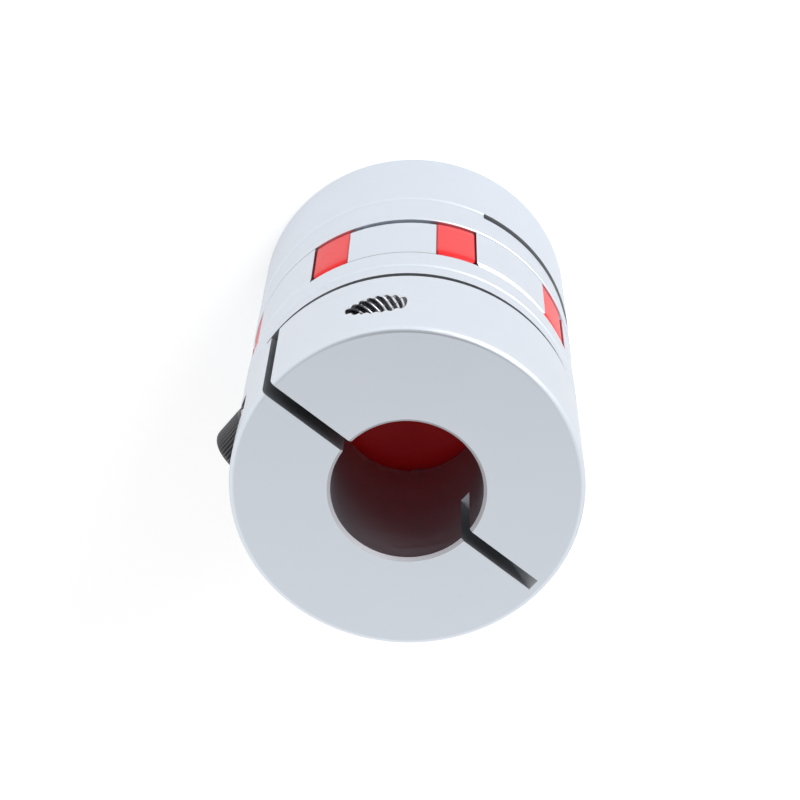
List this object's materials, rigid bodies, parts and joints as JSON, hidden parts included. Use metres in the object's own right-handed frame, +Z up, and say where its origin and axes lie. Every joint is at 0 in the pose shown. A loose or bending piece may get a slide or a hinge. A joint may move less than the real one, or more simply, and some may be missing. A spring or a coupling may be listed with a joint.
{
  "type": "jaw coupling",
  "caption": "Clamp-type jaw coupling: aluminium hubs whose interlocking jaws press on a red elastic spider; each end clamps on a round shaft.",
  "frame": {"origin": "centre of the lower hub's end face, on the coupling's axis", "axes": "+Z up the coupling's axis from the lower to the upper hub; the upper hub's jaws lie on X and Y"},
  "size_m": [0.0673, 0.065, 0.09],
  "materials": {
    "hub": "satin",
    "spider": "smooth red polyurethane",
    "screw": "black oxide",
    "washer": "zinc plated"
  },
  "bodies": {
    "root": {"upper_hub": "hub", "lower_hub": "hub", "spider": "spider", "upper_clamp_screw": "screw", "lower_clamp_screw": "screw", "upper_lock_washer": "washer", "lower_lock_washer": "washer"}
  },
  "joints": []
}
